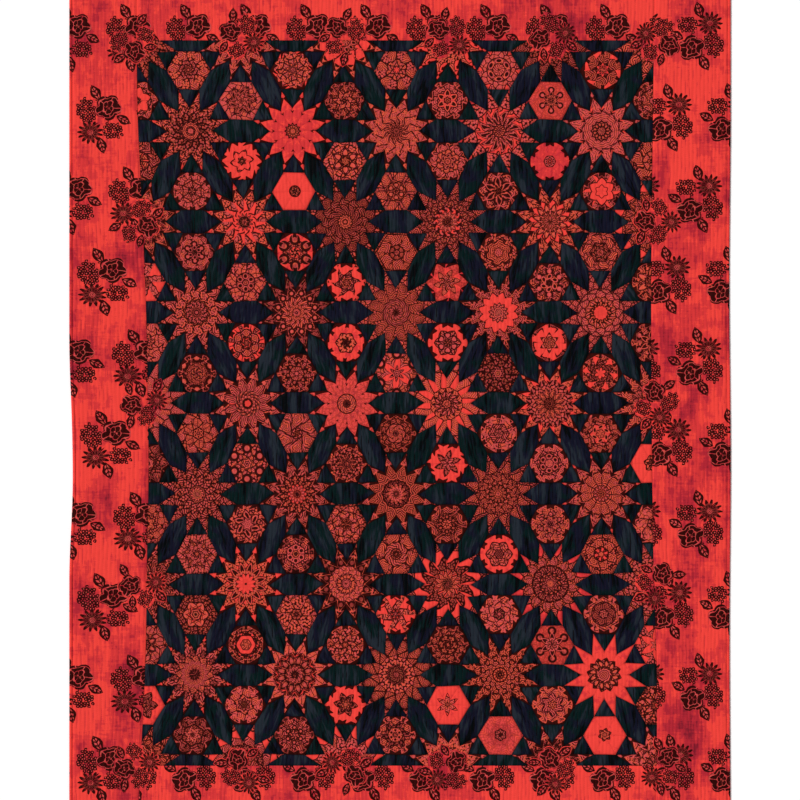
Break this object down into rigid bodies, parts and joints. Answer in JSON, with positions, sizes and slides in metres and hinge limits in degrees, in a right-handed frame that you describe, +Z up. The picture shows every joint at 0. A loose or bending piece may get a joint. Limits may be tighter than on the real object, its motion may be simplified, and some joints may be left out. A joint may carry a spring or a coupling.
{
  "type": "quilt",
  "caption": "Pieced patchwork quilt of printed red and black cotton, laid flat: a panel of twelve-pointed stars and hexagons in a floral border with a narrow binding.",
  "frame": {"origin": "on the surface that the quilt lies on, under the middle of its outline", "axes": "+X across the quilt to the right as the picture shows it, +Y along it towards its upper edge, +Z up out of its face"},
  "size_m": [1.709, 2.26, 0.0054],
  "materials": {
    "pieced_cotton": "matt printed and plain quilting cotton, quilted in close straight lines",
    "border_cotton": "matt printed quilting cotton, red ground with dark floral sprays",
    "binding_cotton": "matt printed cotton, folded over the edge and stitched down",
    "backing_cotton": "matt plain cotton"
  },
  "bodies": {
    "root": {"pieced_centre": "pieced_cotton", "border_left": "border_cotton", "border_right": "border_cotton", "border_top": "border_cotton", "border_bottom": "border_cotton", "binding_left": "binding_cotton", "binding_right": "binding_cotton", "binding_top": "binding_cotton", "binding_bottom": "binding_cotton"}
  },
  "joints": []
}
